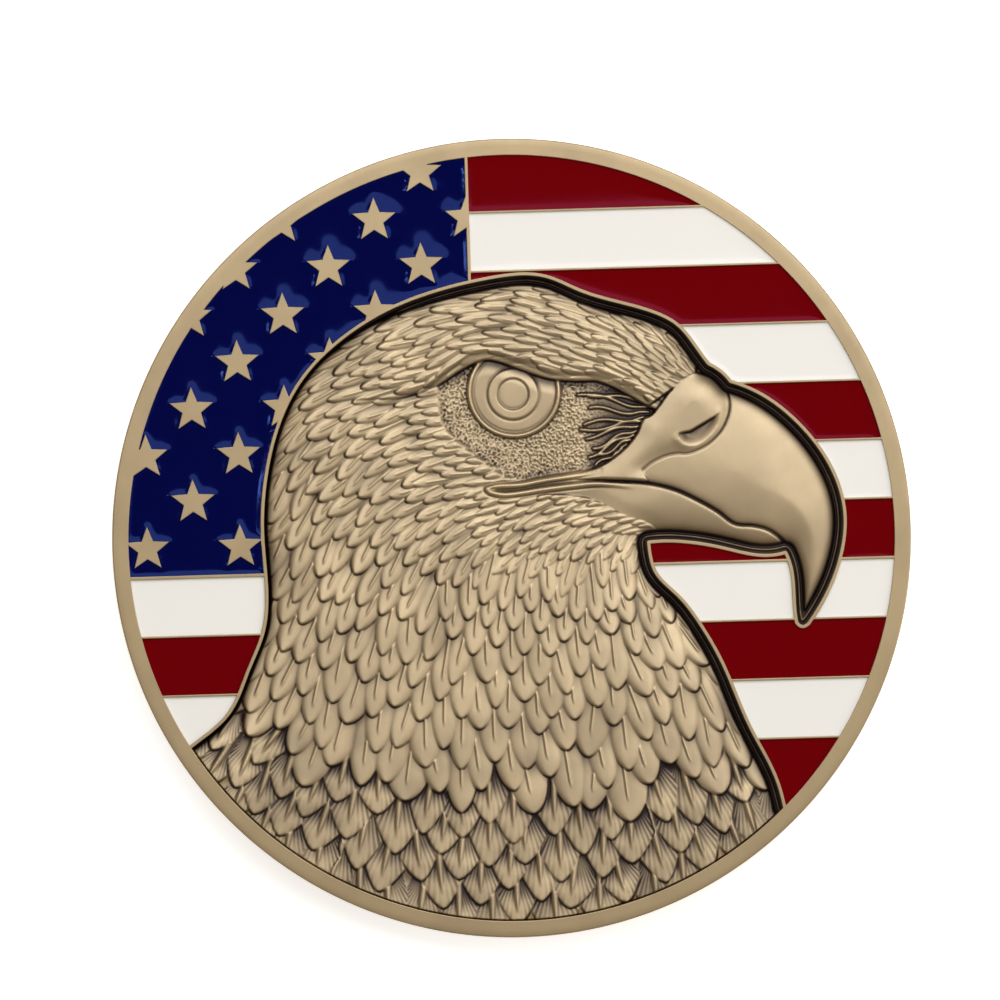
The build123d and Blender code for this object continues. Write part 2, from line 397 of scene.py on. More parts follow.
def stars_on_points():
    inputs = [("Geometry", "NodeSocketGeometry"), ("Star", "NodeSocketObject"), ("Scale", "NodeSocketFloat")]
    tree, given = new_tree("stars_on_points", [*inputs, ("Material", "NodeSocketMaterial")])
    star = node(tree, "GeometryNodeObjectInfo", {"Object": given["Star"]})
    links = {"Points": given["Geometry"], "Instance": star.outputs["Geometry"], "Scale": given["Scale"]}
    placed = node(tree, "GeometryNodeInstanceOnPoints", links)
    finished_tree(tree, placed.outputs[0], given["Material"])
    return tree


def star_ring():
    inputs = [("Star", "NodeSocketObject"), ("Count", "NodeSocketInt"), ("Radius", "NodeSocketFloat")]
    inputs += [("Scale", "NodeSocketFloat"), ("Material", "NodeSocketMaterial")]
    tree, given = new_tree("star_ring", inputs)
    star = node(tree, "GeometryNodeObjectInfo", {"Object": given["Star"]})
    ring = node(tree, "GeometryNodeMeshCircle", {"Vertices": given["Count"], "Radius": given["Radius"]})
    index = node(tree, "GeometryNodeInputIndex")
    share = node(tree, "ShaderNodeMath", {0: index.outputs[0], 1: given["Count"]}, operation="DIVIDE")
    angle = node(tree, "ShaderNodeMath", {0: share.outputs[0], 1: -2 * math.pi}, operation="MULTIPLY")
    lean = node(tree, "ShaderNodeMath", {0: angle.outputs[0], 1: math.pi / 2}, operation="ADD")
    # turned face down about X first, so a ring of stars on the reverse points outwards after the turn
    turn_by = node(tree, "ShaderNodeCombineXYZ", {"X": math.pi, "Z": lean.outputs[0]})
    links = {"Points": ring.outputs[0], "Instance": star.outputs["Geometry"]}
    links |= {"Rotation": turn_by.outputs[0], "Scale": given["Scale"]}
    placed = node(tree, "GeometryNodeInstanceOnPoints", links)
    finished_tree(tree, placed.outputs[0], given["Material"])
    return tree


def run_tree(name, start, tree, values):
    """The tree's result as a plain mesh object, with no modifier left."""
    piece = bpy.data.objects.new(name, start)
    bpy.context.scene.collection.objects.link(piece)
    nodes = piece.modifiers.new("nodes", "NODES")
    nodes.node_group = tree
    for socket in tree.interface.items_tree:
        if socket.in_out == "INPUT" and socket.name in values:
            nodes[socket.identifier] = values[socket.name]
    depsgraph = bpy.context.evaluated_depsgraph_get()
    result = bpy.data.meshes.new_from_object(piece.evaluated_get(depsgraph))
    piece.modifiers.clear()
    piece.data = result
    result.name = name
    return piece


# %% Where the stars stand
centres = [loop.mean(0) for loop in star_loops]
print(len(centres), "stars, the first at", np.round(centres[0], 1))

# %% [markdown]
# ## The relief as a height field
# A coin's relief has no undercuts, because the die has to lift off it. So it is a height over each
# point of the face, and numpy can hold it as a grid. Forms are added the way a medal sculptor adds
# clay: first the big rounded forms, then the beak and brow, then every feather on top.
# Geometry Nodes could instance feathers too, but the copies would cut through each other and leave
# hidden faces, where a struck relief is one skin.

# %% The grid and its helpers
CELL = 0.025  # mm between the height field's points
BED_Z = 2.75  # floor of the groove round the eagle
bed_outline = min(cell_loops, key=signed_area)[::-1]  # the widest opening in the raised metal
low_x, low_y = bed_outline.min(0) - 0.3
high_x, high_y = bed_outline.max(0) + 0.3
xs = np.arange(low_x, high_x, CELL)
ys = np.arange(low_y, high_y, CELL)
X, Y = np.meshgrid(xs, ys)
rng = np.random.default_rng(12)
print("a height field of", X.shape, "points over the eagle's bed")


def painted(outline, x=xs, y=ys):
    """Grid mask of the inside of a closed outline, row by row."""
    mask = np.zeros((len(y), len(x)), bool)
    a, b = np.asarray(outline), np.roll(outline, -1, axis=0)
    for k, row in enumerate(y):
        hit = (a[:, 1] > row) != (b[:, 1] > row)
        cross = np.sort(a[hit, 0] + (row - a[hit, 1]) / (b[hit, 1] - a[hit, 1]) * (b[hit, 0] - a[hit, 0]))
        for start, end in cross[: len(cross) // 2 * 2].reshape(-1, 2):
            mask[k, np.searchsorted(x, start) : np.searchsorted(x, end)] = True
    return mask


def distance_to(lines, step=4):
    """Distance from each grid point to some open lines, worked out on a coarser grid."""
    cx, cy = xs[::step], ys[::step]
    px, py = np.meshgrid(cx, cy)
    best = np.full(px.shape, 1e9)
    for line in lines:
        for (ax, ay), (bx, by) in zip(line[:-1], line[1:]):
            dx, dy = bx - ax, by - ay
            t = np.clip(((px - ax) * dx + (py - ay) * dy) / (dx * dx + dy * dy + 1e-12), 0, 1)
            best = np.minimum(best, (px - ax - t * dx) ** 2 + (py - ay - t * dy) ** 2)
    rows = np.array([np.interp(xs, cx, r) for r in np.sqrt(best)])
    return np.array([np.interp(ys, cy, c) for c in rows.T]).T


def near(lines, reach=1.0, x=xs, y=ys):
    """Exact distance to some lines, as far as a reach; everything further off has the reach's value."""
    best = np.full((len(y), len(x)), reach)
    for line in lines:
        for (ax, ay), (bx, by) in zip(line[:-1], line[1:]):
            i0, i1 = np.searchsorted(y, [min(ay, by) - reach, max(ay, by) + reach])
            j0, j1 = np.searchsorted(x, [min(ax, bx) - reach, max(ax, bx) + reach])
            px, py = np.meshgrid(x[j0:j1] - ax, y[i0:i1] - ay)
            dx, dy = bx - ax, by - ay
            t = np.clip((px * dx + py * dy) / (dx * dx + dy * dy + 1e-12), 0, 1)
            best[i0:i1, j0:j1] = np.minimum(best[i0:i1, j0:j1], np.hypot(px - t * dx, py - t * dy))
    return best


def blur(field, sigma, cell=CELL):
    """Gaussian blur by Fourier transform; sigma and the field's cell in millimetres."""
    fy = np.fft.fftfreq(field.shape[0], cell)[:, None]
    fx = np.fft.rfftfreq(field.shape[1], cell)[None, :]
    fall = np.exp(-2 * (np.pi * sigma) ** 2 * (fx**2 + fy**2))
    return np.fft.irfft2(np.fft.rfft2(field) * fall, field.shape)


def ease(value, start, end):
    t = np.clip((value - start) / (end - start), 0, 1)
    return t * t * (3 - 2 * t)


def rounded(distance, reach):
    """A quarter round: 0 at the edge, 1 from the reach inwards."""
    return np.sqrt(1 - (1 - np.clip(distance / reach, 0, 1)) ** 2)


def ridge(distance, half_width):
    """A half-round ridge, 1 along its line."""
    return np.sqrt(np.clip(1 - (distance / half_width) ** 2, 0, 1))


def crease(distance, width):
    return np.exp(-((distance / width) ** 2))


def curve(points, step=0.1):
    """A smooth open line through points, by centripetal tangents."""
    p = np.array(points, float)
    tangent = np.gradient(p, axis=0)
    tangent /= np.linalg.norm(tangent, axis=1, keepdims=True)
    out = []
    for k in range(len(p) - 1):
        length = np.linalg.norm(p[k + 1] - p[k])
        t = (np.arange(max(2, int(length / step))) / max(2, int(length / step)))[:, None]
        ends = (2 * t**3 - 3 * t**2 + 1) * p[k] + (3 * t**2 - 2 * t**3) * p[k + 1]
        out.append(ends + ((t**3 - 2 * t**2 + t) * tangent[k] + (t**3 - t**2) * tangent[k + 1]) * length)
    return np.vstack([*out, p[-1:]])


# %% The eagle's own lines, in millimetres from the coin's middle
BROW_EDGE = [
    (-10.1, 9.05), (-8.7, 9.1), (-6.7, 9.15), (-4.6, 9.75), (-2.9, 10.75), (-1.5, 11.35), (-0.6, 11.25),
    (0.85, 10.7), (2.7, 10.05), (4.3, 9.87), (5.8, 9.8), (7.5, 9.0), (8.9, 8.15),
]
CERE_BACK = [
    (1.7, 3.7), (3.5, 3.87), (5.25, 4.2), (6.35, 4.7), (7.45, 5.55), (8.2, 6.45), (8.6, 7.3), (9.1, 7.55),
    (9.55, 8.0), (10.25, 8.9), (10.95, 9.6), (11.5, 10.0), (12.1, 10.2),
]
CERE_FRONT = [
    (12.1, 10.2), (13.5, 9.65), (14.05, 8.8), (14.15, 8.1), (13.95, 7.25), (13.45, 6.35), (12.65, 5.6),
    (11.85, 5.2), (11.25, 5.05), (10.7, 5.08), (9.9, 4.93), (9.05, 4.55), (8.45, 4.1),
]
MOUTH = [
    (-1.2, 3.14), (0.7, 3.12), (2.1, 3.36), (4.3, 3.58), (7.0, 3.47), (8.8, 3.29), (10.5, 2.83),
    (12.0, 2.08), (13.2, 1.34), (14.0, 0.68), (14.45, 0.48), (15.4, 0.39), (16.3, 0.13), (17.0, -0.36),
    (17.55, -1.05),
]
UPPER_LIP = [(-1.45, 3.14), (-0.8, 3.3), (0.65, 3.37), (2.1, 3.62), (4.0, 3.86), (5.6, 4.1)]
LOWER_LIP = [
    (-1.45, 3.14), (-1.3, 2.98), (-0.45, 2.77), (0.65, 2.84), (2.1, 3.03), (3.95, 3.2), (5.8, 3.3),
    (8.0, 3.05),
]
CHIN_FEATHER_EDGE = [(-0.6, 2.65), (2.0, 2.72), (4.9, 2.4), (7.2, 1.25), (8.9, 0.55), (9.6, -0.4)]
SKIN_BACK = [(0.0, 3.7), (-1.2, 4.7), (-2.5, 5.7), (-4.0, 7.3), (-4.3, 9.5)]
NOSTRIL = [
    (13.6, 7.7), (13.0, 7.32), (12.35, 6.96), (11.55, 6.52), (10.85, 6.4), (10.72, 6.0), (11.1, 5.6),
    (11.9, 5.5), (12.7, 5.95), (13.4, 6.8),
]
EYE, EYE_OUT, EYE_IN = (0.43, 9.34), 2.99, 2.69
PUPIL, PUPIL_OUT, PUPIL_IN = (0.36, 9.15), 1.59, 1.02

# %% Big forms
rim_part = np.hypot(bed_outline[:, 0], bed_outline[:, 1]) > RIM_IN_R - 0.03
sides = zip(bed_outline, np.roll(bed_outline, -1, axis=0), rim_part & np.roll(rim_part, -1))
fence_line = [np.vstack([here, after]) for here, after, on_rim in sides if not on_rim]
to_fence = distance_to(fence_line)
in_bed = painted(bed_outline)
groove = 0.10 + 0.42 * ease(X, -12.0, -3.0)
depth_in = np.where(in_bed, to_fence, -to_fence) - groove

brow, cere_back, cere_front = curve(BROW_EDGE), curve(CERE_BACK), curve(CERE_FRONT)
mouth, chin_edge, skin_back = curve(MOUTH), curve(CHIN_FEATHER_EDGE), curve(SKIN_BACK)
far_right = [(26, -2), (26, 14), (13, 12)]
below_chin, gape = [(16, -6), (9.7, -1.0)], [(-1.6, 3.1), (-0.8, 3.4)]
horn = painted(np.vstack([cere_back, far_right[::-1], below_chin, chin_edge[::-1], gape]))
upper = painted(np.vstack([mouth, [(19, -8), (26, -8)], far_right, cere_back[::-1], curve(UPPER_LIP)[::-1]]))
mouth_back = mouth[::-1][len(mouth) // 2 :]
cere = painted(np.vstack([cere_back, cere_front, [(8.8, 3.4)], mouth_back])) & horn & upper
skin_way = [(-4.6, 14), (14, 14), (14, 4), (5, 3.3)]
skin_share = blur(painted(np.vstack([skin_way, skin_back])) * 1.0, 0.30)
below_brow = cere_back[cere_back[:, 1] < 7.9][::-1]
round_eye = painted(np.vstack([brow, below_brow, [(-1.5, 3.2), (-9, 2)]]))
skin = (skin_share > 0.12) & ~horn & round_eye
beak = horn & upper & ~cere
jaw = horn & ~upper
plumage = ~horn & ~skin

to_mouth, to_brow = distance_to([mouth]), distance_to([brow])
to_cere = distance_to([np.vstack([cere_back, cere_front])])
to_horn = distance_to([cere_back, chin_edge])
above_brow = painted(np.vstack([brow, [(12, 10.2), (14, 20), (-20, 20), (-20, 9.0)]]))

body_form = BED_Z + 0.18 + 0.47 * rounded(depth_in, 5.0)
feathered = body_form + 0.22 * rounded(to_brow, 1.5) * above_brow * ease(X, -11, -4)
feathered -= 0.12 * ease(to_brow, 1.2, 0) * ~above_brow * ease(X, -11, -6)
skin_form = body_form - 0.20 * ease(distance_to([skin_back]), 0, 2.0) - 0.12 * ease(to_brow, 1.0, 0)
beak_form = BED_Z + 0.30 + 0.72 * rounded(depth_in, 4.8) - 0.10 * (1 - rounded(to_mouth, 0.5))
jaw_form = BED_Z + 0.22 + 0.58 * rounded(depth_in, 2.4) - 0.10 * (1 - rounded(to_mouth, 0.35))
jaw_form -= 0.05 * ease(to_horn, 1.0, 0)
cere_form = BED_Z + 0.25 + 0.62 * rounded(depth_in, 3.6) + 0.30 * rounded(to_cere, 1.5) * ease(X, 2.0, 9.0)
cere_form += 0.12 * np.exp(-((X - 12.4) ** 2 + (Y - 8.6) ** 2) / 1.6)
REGIONS = [beak, jaw, cere, skin]  # plumage is everywhere else
form = np.select(REGIONS, [beak_form, jaw_form, cere_form, skin_form], feathered)
print("heights", round(float(form[in_bed].min()), 2), "to", round(float(form[in_bed].max()), 2))

# %% [markdown]
# ## Feathers
# Feathers follow the head: short and narrow on the crown, rounder on the cheek, long on the neck, and
# broad with open barbs on the breast. A few guides say which way they point and how large they are,
# and every place between takes a weighted mean. Places are thrown at random and kept only where they
# clear the ones before, measured along and across the feather, which gives the staggered rows of
# real plumage. Then each feather is pressed into the field, tip over root, by taking the higher one.

# %% Guides: x, y, pointing angle, showing length, width
GUIDES = np.array([
    (11.6, 11.4, 132, 1.2, 0.36), (9.5, 12.6, 145, 1.5, 0.42), (10.0, 9.7, 150, 1.3, 0.36),
    (6.0, 12.6, 155, 1.8, 0.52), (2.5, 14.6, 167, 2.0, 0.56), (-2.0, 14.4, 182, 2.1, 0.62),
    (-6.0, 12.7, 197, 2.1, 0.68), (-9.5, 11.2, 206, 2.0, 0.74), (4.5, 11.2, 164, 1.8, 0.5),
    (0.0, 12.6, 174, 2.0, 0.56), (7.2, 9.9, 160, 1.5, 0.42), (2.4, 10.9, 166, 1.8, 0.5),
    (-1.4, 12.0, 184, 2.0, 0.55), (-4.3, 10.9, 210, 2.0, 0.6), (-7.4, 9.9, 190, 2.0, 0.66),
    (-10.4, 9.5, 198, 2.0, 0.78), (-12.6, 9.2, 212, 2.0, 0.85), (-14.0, 6.0, 226, 2.1, 1.0),
    (-5.0, 8.0, 190, 1.5, 0.62), (-8.5, 7.4, 203, 1.8, 0.86), (-11.5, 6.0, 217, 2.0, 1.0),
    (-14.3, 2.5, 237, 2.3, 1.15), (-3.0, 5.2, 184, 1.4, 0.52), (-6.0, 4.0, 200, 1.8, 0.8),
    (-10.0, 2.5, 222, 2.1, 1.1), (-13.8, -1.0, 245, 2.5, 1.35), (-1.5, 2.2, 196, 1.5, 0.5),
    (-4.0, 0.4, 216, 1.9, 0.85), (-8.0, -2.5, 240, 2.3, 1.25), (5.2, 2.0, 188, 1.6, 0.38),
    (7.2, 1.0, 184, 1.6, 0.36), (8.6, 0.3, 182, 1.6, 0.32), (3.0, 1.4, 199, 1.5, 0.46),
    (5.6, 0.2, 204, 1.3, 0.5), (1.4, -0.2, 216, 1.4, 0.66), (4.0, -0.9, 232, 1.3, 0.72),
    (6.8, -0.8, 246, 1.2, 0.62), (-12.6, -5.0, 248, 2.6, 1.45), (-8.0, -7.0, 257, 2.8, 1.55),
    (-3.0, -4.5, 260, 2.4, 1.35), (2.0, -3.6, 268, 2.1, 1.3), (6.0, -3.4, 280, 2.1, 1.25),
    (8.4, -3.2, 290, 2.0, 1.15), (-1.0, -9.0, 268, 2.9, 1.65), (4.0, -9.0, 274, 3.0, 1.65),
    (9.0, -8.0, 288, 2.9, 1.65), (11.7, -8.0, 305, 2.6, 1.45), (-14.8, -8.0, 245, 2.4, 1.4),
    (-10.0, -11.0, 258, 3.0, 1.7), (-3.0, -13.0, 270, 3.3, 1.75), (5.0, -13.5, 272, 3.3, 1.8),
    (11.0, -13.0, 284, 3.1, 1.8), (13.6, -12.0, 296, 2.8, 1.6), (-17.0, -11.2, 240, 2.5, 1.8),
    (-18.6, -13.2, 238, 2.5, 1.9), (-14.0, -15.8, 250, 2.8, 2.2), (-9.0, -17.5, 260, 3.0, 2.35),
    (-3.0, -19.0, 268, 3.0, 2.4), (3.0, -19.5, 270, 3.0, 2.4), (9.0, -19.0, 276, 3.0, 2.3),
    (14.0, -17.0, 288, 2.7, 2.0), (0.0, -23.0, 270, 2.8, 2.3),
])
# below this line the feathers are barbed
BARBED_FROM = np.array([
    (-22.0, -7.5), (-17.8, -9.3), (-13.9, -14.3), (-8.0, -15.2), (-2.5, -15.9), (5.1, -16.8),
    (15.3, -15.6), (20, -14),
])


def guided(x, y):
    """Pointing direction, showing length and width at each point, from the guides."""
    d2 = (np.asarray(x)[..., None] - GUIDES[:, 0]) ** 2 + (np.asarray(y)[..., None] - GUIDES[:, 1]) ** 2
    w = 1 / (d2 + 0.4) ** 2
    w /= w.sum(-1, keepdims=True)
    a = np.radians(GUIDES[:, 2])
    angle = np.arctan2((w * np.sin(a)).sum(-1), (w * np.cos(a)).sum(-1))
    return angle, (w * GUIDES[:, 3]).sum(-1), (w * GUIDES[:, 4]).sum(-1)


# %% Throw the feathers' places
def grid_value(field, x, y):
    i = np.clip(((np.asarray(y) - ys[0]) / CELL).astype(int), 0, len(ys) - 1)
    j = np.clip(((np.asarray(x) - xs[0]) / CELL).astype(int), 0, len(xs) - 1)
    return field[i, j]


STAGGER = 1.3  # power of the spacing's diamond: 1 locks feathers into staggered rows, 2 lets them drift
TRIES = 60000
CLEAR = 0.80  # nearer than this, in feathers, a new place is not kept
ROUNDS = 22  # of pushing the places apart
PUSH_WITHIN, PUSH = 1.06, 0.20  # in feathers: nearer places part by this share of what is short
DRIFT = 0.07  # share of a feather's width that its place then strays
may_grow = plumage & (depth_in > -0.25) & in_bed
tries = np.column_stack([rng.uniform(low_x, high_x, TRIES), rng.uniform(low_y, high_y, TRIES)])
tries = tries[grid_value(may_grow, tries[:, 0], tries[:, 1])]
try_angle, try_length, try_width = guided(tries[:, 0], tries[:, 1])


def spacing(here, others, angle, length, width):
    """Distance in feathers, along and across the one that stands here."""
    d = others - here
    along = d[:, 0] * math.cos(angle) + d[:, 1] * math.sin(angle)
    across = -d[:, 0] * math.sin(angle) + d[:, 1] * math.cos(angle)
    return (np.abs(along / length) ** STAGGER + np.abs(across / width) ** STAGGER) ** (1 / STAGGER)


kept = np.empty((0, 2))
for place, angle, length, width in zip(tries, try_angle, try_length, try_width):
    if len(kept) == 0 or spacing(place, kept, angle, length, width).min() > CLEAR:
        kept = np.vstack([kept, place])
for _ in range(ROUNDS):
    angle, length, width = guided(kept[:, 0], kept[:, 1])
    d = kept[None] - kept[:, None]
    cos, sin = np.cos(angle)[:, None], np.sin(angle)[:, None]
    along = (d[..., 0] * cos + d[..., 1] * sin) / length[:, None]
    across = (-d[..., 0] * sin + d[..., 1] * cos) / width[:, None]
    reach = (np.abs(along) ** STAGGER + np.abs(across) ** STAGGER) ** (1 / STAGGER) + 1e-9
    push = np.clip(PUSH_WITHIN - reach, 0, 1) * (reach > 1e-6) * PUSH
    step_along = -(push * np.sign(along) * (np.abs(along) / reach) ** (STAGGER - 1)).sum(1) * length
    step_across = -(push * np.sign(across) * (np.abs(across) / reach) ** (STAGGER - 1)).sum(1) * width
    step_x = step_along * cos[:, 0] - step_across * sin[:, 0]
    step_y = step_along * sin[:, 0] + step_across * cos[:, 0]
    trial = kept + np.column_stack([step_x, step_y])
    stays = grid_value(may_grow, trial[:, 0], trial[:, 1])
    kept = np.where(stays[:, None], trial, kept)
kept += rng.normal(0, DRIFT, kept.shape) * guided(kept[:, 0], kept[:, 1])[2][:, None]
print(len(kept), "feathers")

# %% Press them into the field
feather_angle, feather_length, feather_width = guided(kept[:, 0], kept[:, 1])
barb_line = np.interp(kept[:, 0], BARBED_FROM[:, 0], BARBED_FROM[:, 1])
is_barbed = kept[:, 1] < barb_line
LAP = 0.65  # how much longer a feather is than the part that shows


def smooth_feather(t, across, width, size):
    """Half width, body, detail and patina of a closed, leaf-shaped feather. t runs from root to tip."""
    leaf = 1 - np.clip((t - 0.60) / 0.40, 0, 1) ** 1.9
    half = width * 0.5 * np.minimum(1, 0.6 + t) * leaf**0.56
    share = np.clip(np.abs(across) / np.maximum(half, 1e-6), 0, 1)
    body = (0.11 + 0.25 * size) * t + (0.06 + 0.09 * size) * (1 - share**3.5)
    upper_part = ease(t, 0.80, 0.70) * size
    shaft = 0.085 * crease(across, 0.06) - 0.02 * crease(across + 0.13, 0.06)
    stain = 0.12 * crease(across + 0.14, 0.05) - 0.40 * crease(across, 0.06)
    return half, body, shaft * upper_part, stain * upper_part


def barbed_feather(t, across, width, length):
    """The same for a fan of open barbs on a stout shaft."""
    half = width * 0.5 * np.minimum(0.35 + t, 1.0) * np.clip((1 - t) / 0.36, 0, 1) ** 0.6
    off = np.abs(across)
    share = np.clip(off / np.maximum(half, 1e-6), 0, 1)
    body = 0.32 * t + 0.05 * (1 - share**2)
    lines = np.cos(np.arctan2(off, (t - 0.2) * length) * 62)
    beside = ease(off, 0.08, 0.28)
    upper_part = ease(t, 0.82, 0.55)
    shaft = 0.12 * ease(t, 0.86, 0.70) * crease(across, 0.07 + 0.10 * ease(t, 0.85, 0.50))
    fine = 0.020 * lines * beside * (0.4 + 0.6 * ease(share, 0.4, 0.9)) + shaft - 0.05 * upper_part * beside
    stain = 0.42 * upper_part * (0.75 - 0.5 * lines)
    stain += 0.22 * ease(share, 0.45, 0.9) * (0.5 - 0.5 * lines)
    return half, body, fine, beside * stain


top, detail, ink = (np.zeros(X.shape) for _ in range(3))
for place, angle, length, width, barbed in zip(kept, feather_angle, feather_length, feather_width, is_barbed):
    angle += rng.normal(0, 0.085)
    length *= rng.uniform(0.92, 1.28)
    width *= rng.uniform(1.06, 1.34)
    whole = length * (1 + LAP)
    forth = np.array([math.cos(angle), math.sin(angle)])
    root, tip = place - forth * (whole - length * 0.5), place + forth * length * 0.5
    low, high = np.minimum(root, tip) - width * 0.6, np.maximum(root, tip) + width * 0.6
    i0, i1 = np.searchsorted(ys, [low[1], high[1]])
    j0, j1 = np.searchsorted(xs, [low[0], high[0]])
    dx, dy = X[i0:i1, j0:j1] - root[0], Y[i0:i1, j0:j1] - root[1]
    along = (dx * forth[0] + dy * forth[1]) / whole
    across = dy * forth[0] - dx * forth[1]
    t = np.clip(along, 0, 1)
    if barbed:
        half, body, fine, stain = barbed_feather(t, across, width, whole)
    else:
        half, body, fine, stain = smooth_feather(t, across, width, min(1.0, width / 1.5))
    patch = top[i0:i1, j0:j1]
    shows = (along > 0) & (along < 1) & (np.abs(across) < half) & (body > patch)
    patch[shows] = body[shows]
    detail[i0:i1, j0:j1][shows] = fine[shows]
    ink[i0:i1, j0:j1][shows] = stain[shows]
top = np.maximum(top, 0.75 * blur(top, 0.25))
lid = ease(near([brow], 1.2), 0.05, 0.7) + ease(X, -3.5, -6.5) + ease(X, 8.5, 9.5)
detail *= 1 - 0.5 * skin
plumage_form = feathered + (top + detail) * np.where(above_brow, np.clip(lid, 0.45, 1), 1)
print("feathers raise the form by up to", round(float((top + detail).max()), 3), "mm")

# %% [markdown]
# ## Eye, bare skin, lips and nostril
# Round the eye the die is punched with a fine stipple, which holds the dark patina and sets off the
# smooth eyeball. Two seeded noises, one blurred twice as far as the other, give grains of one size.
# The lips, the rings and the bristles are low ridges: a height that falls with distance to a line.

# %% Grain
GRAIN = 0.042  # mm, blur of the stipple's grains
noise = rng.standard_normal(X.shape)
stipple = blur(noise, GRAIN) - blur(noise, 2 * GRAIN)
stipple = np.clip(stipple / stipple.std(), -1.8, 1.8)

# %% Eye
eye_r = np.hypot(X - EYE[0], Y - EYE[1])
pupil_r = np.hypot(X - PUPIL[0], Y - PUPIL[1])
eyeball = 0.04 + 0.08 * ridge(eye_r, 4.5)
eyeball += 0.07 * ease(pupil_r, PUPIL_OUT + 0.06, PUPIL_OUT - 0.06)
eyeball -= 0.09 * ease(pupil_r, PUPIL_IN + 0.05, PUPIL_IN - 0.05)
eyelid = 0.22 * ridge(eye_r - (EYE_OUT + EYE_IN) / 2, 0.17)
eye_form = np.where(eye_r < EYE_OUT, np.maximum(eyeball, eyelid + 0.02), 0.036 * stipple + eyelid)
eye_form -= 0.03 * crease(eye_r - EYE_OUT - 0.07, 0.06) + 0.04 * crease(eye_r - EYE_IN + 0.09, 0.07)
eye_form -= 0.05 * crease(pupil_r - PUPIL_OUT - 0.10, 0.06) + 0.03 * crease(pupil_r - PUPIL_IN + 0.09, 0.05)
skin_full = skin_form + eye_form
print("the eyeball stands up to", round(float(eyeball.max()), 2), "mm over the skin")

# %% Bristles between the skin and the cere
BRISTLES = 12


def bristle(k):
    """One thin wavy bristle, from its root by the cere to its tip over the skin."""
    share = k / (BRISTLES - 1)
    root = np.array([9.15 - 2.2 * share**1.4, 8.35 - 3.2 * share])
    length = (4.7 - 2.7 * share) * rng.uniform(0.80, 1.1)
    heading = math.radians(168 + 52 * share + rng.uniform(-5, 5))
    s = np.linspace(0, 1, 14)[:, None]
    forth = np.array([math.cos(heading), math.sin(heading)])
    side = np.array([-forth[1], forth[0]])
    sway = 0.17 * np.sin(s * rng.uniform(5, 7) + rng.uniform(0, 6)) * ease(s, 0, 0.3)
    return root + forth * s * length + side * (sway + 0.4 * (share - 0.4) * s**2)


bristles = [bristle(k) for k in range(BRISTLES)]
print(len(bristles), "bristles")
to_bristle = near(bristles, 0.4)
bristle_zone = blur(ease(near(bristles, 1.0), 0.6, 0.1) * 1.0, 0.15) * skin * ease(X, 3.5, 6.5)
skin_full = plumage_form + (skin_full - plumage_form) * ease(skin_share, 0.2, 0.8)
skin_full += skin * (0.20 * ridge(to_bristle, 0.10) - (0.09 + 0.036 * stipple) * bristle_zone)

# %% Lips, mouth, cere and nostril
to_upper_lip, to_lower_lip = near([curve(UPPER_LIP)], 0.6), near([curve(LOWER_LIP)], 0.6)
to_lips, to_edge = np.minimum(to_upper_lip, to_lower_lip), near([cere_front], 0.6)
mouth_near = near([mouth], 0.6)
LIP_R = 0.19
upper_lip = ridge(to_upper_lip, LIP_R) * ease(X, 5.7, 2.6)
lower_lip = ridge(to_lower_lip, LIP_R) * ease(X, 8.2, 5.0)
lips = 0.20 * np.maximum(upper_lip, lower_lip) - 0.05 * crease(to_lips - 0.25, 0.06) * ease(X, 6.2, 3.5)
mouth_depth = 0.02 + 0.15 * ease(X, 3.0, 7.0)
nostril_top, nostril_low = near([np.array(NOSTRIL[:5])], 1.5), near([curve(NOSTRIL[5:] + NOSTRIL[:1])], 1.5)
nostril = painted(np.vstack([curve(NOSTRIL[:5]), curve(NOSTRIL[5:] + NOSTRIL[:1])]))
cere_full = blur(cere_form, 0.25) + 0.05 * crease(nostril_low, 0.3)
cere_full -= 0.34 * nostril * ease(nostril_low, 0, 0.8) * ease(nostril_top, 0, 0.1)
beak_full = blur(beak_form, 0.15) - mouth_depth * crease(mouth_near, 0.09) - 0.09 * crease(to_edge, 0.08)
cere_full -= 0.09 * crease(to_edge, 0.06) + mouth_depth * crease(mouth_near, 0.09)
jaw_full = blur(jaw_form, 0.10) - mouth_depth * 1.2 * crease(mouth_near, 0.12)

form = np.select(REGIONS, [beak_full, jaw_full, cere_full, skin_full], plumage_form)
lip_bed = ease(to_lips, 0.45, 0.20) * ease(X, 6.6, 4.0)
form = form + (blur(form, 0.35) - form) * lip_bed + lips - 0.10 * crease(mouth_near, 0.06) * lip_bed
print("form from", round(float(form[in_bed].min()), 2), "to", round(float(form[in_bed].max()), 2))

# %% The groove round it, and the whole height field
RIDGE_IN = 0.27  # mm from the fence to the thin ridge along the groove's floor
bed = BED_Z + 0.16 * crease(to_fence - RIDGE_IN, 0.06)
rise = ease(depth_in, -0.05, 0.10)
RELIEF_TOP = 3.93  # just under the rim
height = blur(np.clip(bed + (form - bed) * rise, BED_Z, RELIEF_TOP), 0.028)
print("height field from", round(float(height[in_bed].min()), 2), "to", round(float(height[in_bed].max()), 2))

# %% [markdown]
# ## Patina and painted shade
# After striking, the coin is dipped in a dark patina and wiped. It stays in the hollows and is rubbed
# off everything that stands up. How deep a point lies below its surroundings says how much it keeps.
# Painted shade is added to it: darker along the relief's edge, in the groove, at the neck's left edge
# and towards the bottom, with a painted highlight along the groove's ridge. Each mesh point carries the
# sum as an attribute for the brass material to read.

# %% Where the patina stays, with painted shade and a painted highlight
def highest_near(field, reach):
    """The highest value within a reach of each point, by shifting the field round a circle."""
    highest = field
    for angle in np.arange(8) * np.pi / 4:
        for share in (0.5, 1.0):
            shift = [round(share * reach / CELL * f(angle)) for f in (math.sin, math.cos)]
            highest = np.maximum(highest, np.roll(field, shift, (0, 1)))
    return highest


